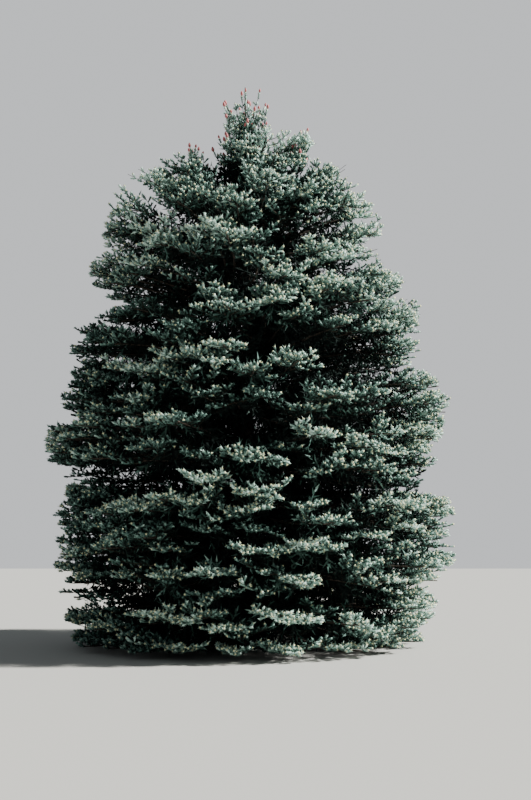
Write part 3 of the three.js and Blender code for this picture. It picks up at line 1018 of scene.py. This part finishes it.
def grow_top(foliage, top, rise_gain, cone_share, draw):
    """A leader: whorls of branchlets round an upright stem, shorter and steeper towards its tip.

    Branchlet i is turned by i golden angles. Its rise grows and its length falls in straight lines
    with the height of its whorl. Cones stand at a share of the branchlets' ends.
    """
    stem, width = top_stem(*top[:4]), top[4]
    length = line_length(stem)
    levels = max(int(length / WHORL_STEP), LEAST_WHORLS)
    u = np.repeat(np.arange(levels) / levels, WHORL_COUNT)
    spots, _ = along_line(stem, u * length)
    turn = np.arange(u.size) * GOLDEN_ANGLE + draw.uniform(-WHORL_ROLL, WHORL_ROLL, u.size)
    rise = WHORL_RISE + rise_gain * u + draw.uniform(-ANGLE_JITTER, ANGLE_JITTER, u.size)
    rise = np.radians(rise)
    outward = np.stack([np.cos(turn) * np.cos(rise), np.sin(turn) * np.cos(rise), np.sin(rise)], axis=-1)
    sizes = width * (1 - WHORL_THINNING * u) * draw.uniform(*WHORL_RANGE, u.size) - WHORL_SHORTER
    sizes = np.maximum(sizes, LEAST_BRANCHLET)
    end, end_way = along_line(stem, np.array([STEM_END * length]))
    spots, outward = np.concatenate([spots, end]), np.concatenate([outward, end_way])
    sizes = np.append(sizes, STEM_END_SIZE)
    ahead = np.tile([0.0, 0.0, 1.0], (len(sizes), 1))
    begin, way, size, bend = grow_shoots(spots, outward, ahead, sizes, draw)
    foliage.add(begin, way, size, draw.uniform(*TOP_TONE_RANGE), TOP)
    foliage.twigs += twig_tubes(spots, outward, bend, sizes)
    foliage.twigs.append(tube(stem, np.linspace(*STEM_RADII, STEM_STEPS), STEM_SIDES))
    if not cone_share:
        return
    tips = begin + way * size[:, None]
    at_end = np.arange(len(tips)) >= len(tips) - len(sizes)
    odds = STRAY_CONES + cone_share * at_end
    lowest = stem[0, 2] + CONES_FROM * length
    bears = (tips[:, 2] > lowest) & (draw.uniform(size=len(tips)) < odds)
    foliage.cones += list(zip(tips[bears], way[bears]))


def grow_spike(foliage, draw):
    """The leading shoot: short shoots one above another up the trunk's tip, and a cone on the last."""
    height = np.arange(LEADER[3], SPIKE_HEIGHT, SPIKE_STEP)
    begin = np.stack([trunk_shift(height), np.zeros(len(height)), height], axis=-1)
    way = unit(np.array([0, 0, 1.0]) + draw.normal(0, SPIKE_SWAY, begin.shape))
    size = np.full(len(height), SPIKE_LENGTH * SHOOT_LENGTH)
    foliage.add(begin, way, size, SPIKE_TONE, TOP)
    foliage.cones.append((begin[-1] + way[-1] * size[-1], way[-1]))


def grow_tops():
    """The leader with its leading shoot, the lesser tops round it and the low ones in front."""
    foliage = Foliage(TREE_HEIGHT + TIP_MARGIN)
    draw = np.random.default_rng(TOPS_SEED)
    grow_top(foliage, LEADER, LEADER_RISE, LEADER_CONES, draw)
    grow_spike(foliage, draw)
    for top in SIDE_TOPS:
        grow_top(foliage, top, SIDE_RISE, SIDE_CONES, draw)
    for top in LOW_TOPS:
        grow_top(foliage, top, SIDE_RISE, 0, draw)
    return foliage


def grow_mass(foliage, plan, draw):
    """Grows one mass's boughs with their hands into its tier's foliage, and returns their tubes."""
    tier = plan["tier"]
    rightness = math.cos(plan["azimuth"])
    boughs = []
    for aside, above, share, width, full in bough_rows(plan, draw):
        ceiling = TIERS_TOP + TOP_LIFT * max(rightness, 0)
        ceiling -= draw.uniform(0, TOP_UNEVEN)
        line = bough_line(plan, aside, above, share, draw.uniform(*HANG_RANGE), ceiling)
        spots, outward, ahead, sizes = hand_branchlets(line, width, full, tier, ceiling, draw)
        if not len(sizes):
            continue
        begin, way, size, bend = grow_shoots(spots, outward, ahead, sizes, draw, full)
        # A hand's tone varies by chance, and painted light makes it lighter in the top tiers
        tone = draw.uniform(*TONE_RANGE) + TOP_PAINTED_LIGHT * (tier >= TOP_FROM)
        # Painted shade on the left side, away from the sun
        tone += LEFT_PAINTED_SHADE * max(-rightness, 0)
        foliage.add(begin, way, size, tone, FULL if full == 1 else THIN)
        foliage.add(*inner_shoots(line, draw), 0, FILL)
        foliage.twigs += twig_tubes(spots, outward, bend, sizes)
        boughs.append(bough_tube(plan, line, full, draw))
    return boughs


def make_tier(tier, foliage):
    """Makes a tier's needle-clad shoots, in place of its solids, and its twigs."""
    number = f"{tier + 1:02d}"
    needles = foliage.piece(f"needles_tier_{number}")
    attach(needles, "root")
    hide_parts(*[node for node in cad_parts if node.startswith(f"foliage_{number}_")])
    twigs = mesh_piece(f"twigs_tier_{number}", *gather(foliage.twigs), [TWIG_BARK_PAINTED_SHADE])
    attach(twigs, "root")


def make_boughs(boughs):
    """Joins the boughs' tubes into one piece, in place of the solid ones."""
    piece = mesh_piece("boughs", *gather(boughs), [BARK], smooth=True)
    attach(piece, "root")
    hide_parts(*[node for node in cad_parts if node.startswith("bough_")])


def make_cones(cones):
    """Young cones, upright at shoot tips: rings of blunt scales in spirals on an egg-shaped body.

    The radius is the sine of half a turn times (the height's share to a power), to the bluntness,
    and a wave round it that is half a step on from ring to ring makes the scales.
    """
    sides, rings = CONE_SIDES, CONE_RINGS
    at, turn = np.meshgrid((np.arange(rings) + 0.5) / rings, np.arange(sides) / sides, indexing="ij")
    swell = np.sin(math.pi * at ** CONE_FULLEST) ** CONE_BLUNTNESS
    wave = np.cos(2 * math.pi * (turn * sides / 2 + np.arange(rings)[:, None] / 2))
    radius = CONE_RADIUS * swell * (1 + CONE_SCALES * wave)
    angle = 2 * math.pi * turn
    height = CONE_LENGTH * at - CONE_SINK
    body = np.stack([radius * np.cos(angle), radius * np.sin(angle), height], axis=-1)
    body = np.concatenate([body.reshape(-1, 3), [[0, 0, CONE_FOOT], [0, 0, CONE_TIP]]])
    low = np.arange(sides)
    high = low + (rings - 1) * sides
    foot, tip = len(body) - 2, len(body) - 1
    faces = np.concatenate([
        facing_back(ring_faces(rings, sides)),
        cap_faces(low, foot),
        facing_back(cap_faces(high, tip)),
    ])
    spots = np.array([spot for spot, _ in cones])
    ways = unit(np.array([way for _, way in cones]) + np.array([0, 0, CONE_UPRIGHT]))
    side, up = side_and_up(ways)
    sizes = rng.uniform(*CONE_RANGE, len(cones))
    frames = np.stack([side, up, ways], axis=1) * sizes[:, None, None]
    points = np.einsum("vk,nkj->nvj", body, frames) + spots[:, None]
    numbers = faces[None] + (np.arange(len(cones)) * len(body))[:, None, None]
    piece = mesh_piece("young_cones", points.reshape(-1, 3), numbers.reshape(-1, 3), [CONE], smooth=True)
    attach(piece, "root")


def make_crown():
    """Grows the tiers of masses from the foot upwards, then the tops, and makes their pieces."""
    boughs = []
    for tier in range(LAST_TIER):
        foliage = Foliage(TIERS_TOP + TOP_LIFT, FILL_DEPTH * (1 - tier / FILL_TIERS))
        for index in range(boughs_in_tier(tier)):
            draw = np.random.default_rng(MASS_SEED + tier * 10 + index)
            boughs += grow_mass(foliage, mass_plan(tier, index), draw)
        make_tier(tier, foliage)
    tops = grow_tops()
    make_tier(LAST_TIER, tops)
    make_boughs(boughs)
    make_cones(tops.cones)


def plate_relief(height, angle):
    """Scaly bark as a height from -1 in the grooves to 1 on the plates.

    The unrolled trunk is cut into cells, each with a middle moved by chance, which is the fraction
    of a large sine of the cell's place. The relief is the gap between the distances to the nearest
    middle and to the next, which is nought on a plate's edge, eased over the groove's width.
    """
    u = angle / (2 * math.pi) * PLATES_ROUND
    v = height / PLATE_HEIGHT
    near = np.full(u.shape, np.inf)
    after = np.full(u.shape, np.inf)
    for step_u in (-1, 0, 1):
        for step_v in (-1, 0, 1):
            cell_u, cell_v = np.floor(u) + step_u, np.floor(v) + step_v
            seed = (cell_u % PLATES_ROUND) * 12.9898 + cell_v * 78.233
            move_u = np.modf(np.abs(np.sin(seed)) * 4375.85)[0]
            move_v = np.modf(np.abs(np.sin(seed + 3.7)) * 9631.27)[0]
            away = np.hypot(u - cell_u - move_u, v - cell_v - move_v)
            after = np.minimum(after, np.maximum(near, away))
            near = np.minimum(near, away)
    return 2 * eased((after - near) / GROOVE_WIDTH) - 1


def make_trunk():
    """The trunk: rings of points at the rule's radius, closed by a point at the foot and the tip.

    The rings crowd towards the foot by a power of their share of the height, and the plates' relief
    thins with the radius.
    """
    angle = np.linspace(0, 2 * math.pi, TRUNK_SIDES, endpoint=False)
    height = TREE_HEIGHT * np.linspace(0, 1, TRUNK_RINGS) ** RING_CROWDING
    height, angle = np.meshgrid(height, angle, indexing="ij")
    radius = trunk_radius(height, angle)
    relief = PLATE_RELIEF * plate_relief(height, angle)
    radius = radius + relief * np.clip(radius / TRUNK_RADIUS, LEAST_RELIEF, 1)
    x = trunk_shift(height) + radius * np.cos(angle)
    points = np.stack([x, -radius * np.sin(angle), height], axis=-1).reshape(-1, 3)
    foot, tip = len(points), len(points) + 1
    points = np.concatenate([points, [[0, 0, 0], [TRUNK_LEAN, 0, TREE_HEIGHT]]])
    low = np.arange(TRUNK_SIDES)
    high = low + (TRUNK_RINGS - 1) * TRUNK_SIDES
    faces = np.concatenate([
        ring_faces(TRUNK_RINGS, TRUNK_SIDES),
        facing_back(cap_faces(low, foot)),
        cap_faces(high, tip),
    ])
    piece = mesh_piece("trunk_bark", points, faces, [BARK], smooth=True)
    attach(piece, "root")
    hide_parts("trunk")


def make_floor():
    """A wide pale floor."""
    bpy.ops.mesh.primitive_plane_add(size=FLOOR_SIZE)
    floor = bpy.context.object
    floor.name = "floor"
    floor.data.materials.append(shade("floor_pale", (0.42, 0.42, 0.4), 0.9))


def make_light():
    """A soft sky that the camera sees as a plain grey backdrop, and a sun from the upper right."""
    world = bpy.data.worlds.new("studio")
    world.use_nodes = True
    nodes, links = world.node_tree.nodes, world.node_tree.links
    light = nodes["Background"]
    light.inputs["Color"].default_value = (0.88, 0.95, 1.0, 1)
    light.inputs["Strength"].default_value = SKY_STRENGTH
    shown = nodes.new("ShaderNodeBackground")
    shown.inputs["Color"].default_value = (0.8, 0.82, 0.84, 1)
    shown.inputs["Strength"].default_value = BACKDROP_STRENGTH
    mix = nodes.new("ShaderNodeMixShader")
    path = nodes.new("ShaderNodeLightPath")
    links.new(path.outputs["Is Camera Ray"], mix.inputs[0])
    links.new(light.outputs[0], mix.inputs[1])
    links.new(shown.outputs[0], mix.inputs[2])
    links.new(mix.outputs[0], nodes["World Output"].inputs["Surface"])
    bpy.context.scene.world = world

    sun = bpy.data.lights.new("key", "SUN")
    sun.energy = SUN_STRENGTH
    sun.angle = math.radians(SUN_WIDTH)
    sun.color = (1.0, 0.98, 0.93)
    key = bpy.data.objects.new("key", sun)
    key.rotation_euler = Vector(SUN_FROM).to_track_quat("Z", "Y").to_euler()
    bpy.context.scene.collection.objects.link(key)


def make_camera():
    """The camera at the photograph's height and angle, tilted up from the level."""
    lens = bpy.data.cameras.new("camera")
    lens.sensor_width = SENSOR
    lens.lens = SENSOR * FOCAL_LENGTH_IN_PIXELS / PICTURE_HEIGHT
    camera = bpy.data.objects.new("camera", lens)
    camera.location = CAMERA_PLACE
    camera.rotation_euler = (math.radians(90 + CAMERA_PITCH), 0, 0)
    bpy.context.scene.collection.objects.link(camera)
    bpy.context.scene.camera = camera


make_floor()
make_light()
make_camera()
make_trunk()
make_crown()
